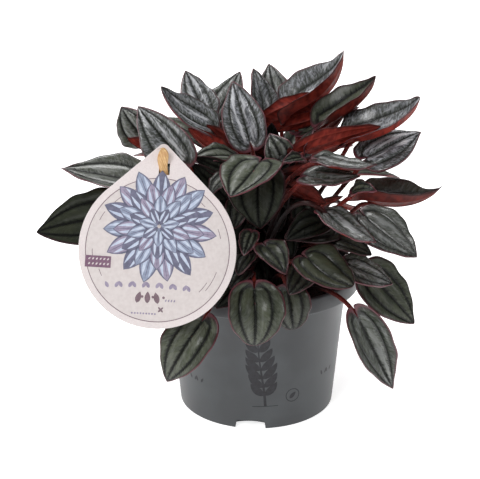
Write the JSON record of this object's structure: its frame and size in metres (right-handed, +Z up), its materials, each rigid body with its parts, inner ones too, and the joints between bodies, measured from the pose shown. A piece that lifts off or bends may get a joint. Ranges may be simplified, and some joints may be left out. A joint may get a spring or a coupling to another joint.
{
  "type": "potted peperomia plant",
  "caption": "Small ripple-leaved houseplant with heart-shaped leaves on thin stalks, growing in a round nursery pot, with a round care tag on a bamboo stick.",
  "frame": {"origin": "centre of the pot's foot, on the plane that the pot stands on", "axes": "+Z up the pot's axis, -Y towards the front where the care tag faces, +X to the right seen from the front"},
  "size_m": [0.2222, 0.1972, 0.2094],
  "materials": {
    "pot": "moulded grey plastic, soft sheen",
    "soil": "damp peat compost, rough",
    "crown": "short fleshy stem with old stalk stubs",
    "leaf": "waxy rippled leaf, silvery ridges above and wine red below",
    "tag": "smooth coated card",
    "stick": "split bamboo, bare"
  },
  "bodies": {
    "root": {"pot": "pot", "soil": "soil", "crown": "crown", "care_tag": "tag", "tag_stick": "stick", "leaf_left_far": "leaf", "leaf_left_large": "leaf", "leaf_left_top_small": "leaf", "leaf_left_top_large": "leaf", "leaf_upper_left_front": "leaf", "leaf_upper_left_back": "leaf", "leaf_top_left": "leaf", "leaf_top_front": "leaf", "leaf_top_middle": "leaf", "leaf_top_back": "leaf", "leaf_fan_1": "leaf", "leaf_fan_2": "leaf", "leaf_fan_3": "leaf", "leaf_fan_4": "leaf", "leaf_fan_5": "leaf", "leaf_mid_right_1": "leaf", "leaf_mid_right_2": "leaf", "leaf_mid_right_small": "leaf", "leaf_low_right_1": "leaf", "leaf_low_right_2": "leaf", "leaf_low_right_3": "leaf", "leaf_front_right": "leaf", "leaf_droop_right": "leaf", "leaf_hang_right": "leaf", "leaf_hang_left": "leaf", "leaf_front_centre": "leaf", "leaf_front_behind": "leaf", "leaf_front_small": "leaf", "leaf_centre_left": "leaf", "leaf_centre_large": "leaf", "leaf_centre_side": "leaf", "leaf_centre_top": "leaf", "leaf_centre_upright": "leaf", "leaf_shade_right": "leaf", "leaf_shade_middle": "leaf", "leaf_shade_left": "leaf", "leaf_behind_tag_1": "leaf", "leaf_behind_tag_2": "leaf", "leaf_behind_tag_3": "leaf", "leaf_back_low_1": "leaf", "leaf_back_low_2": "leaf", "leaf_back_low_3": "leaf", "leaf_back_low_4": "leaf", "leaf_back_low_5": "leaf", "leaf_back_low_6": "leaf", "leaf_back_mid_1": "leaf", "leaf_back_mid_2": "leaf", "leaf_back_mid_3": "leaf", "leaf_back_mid_4": "leaf", "leaf_back_mid_5": "leaf", "leaf_back_up_1": "leaf", "leaf_back_up_2": "leaf", "leaf_back_up_3": "leaf", "leaf_back_up_4": "leaf", "leaf_back_top": "leaf"}
  },
  "joints": []
}
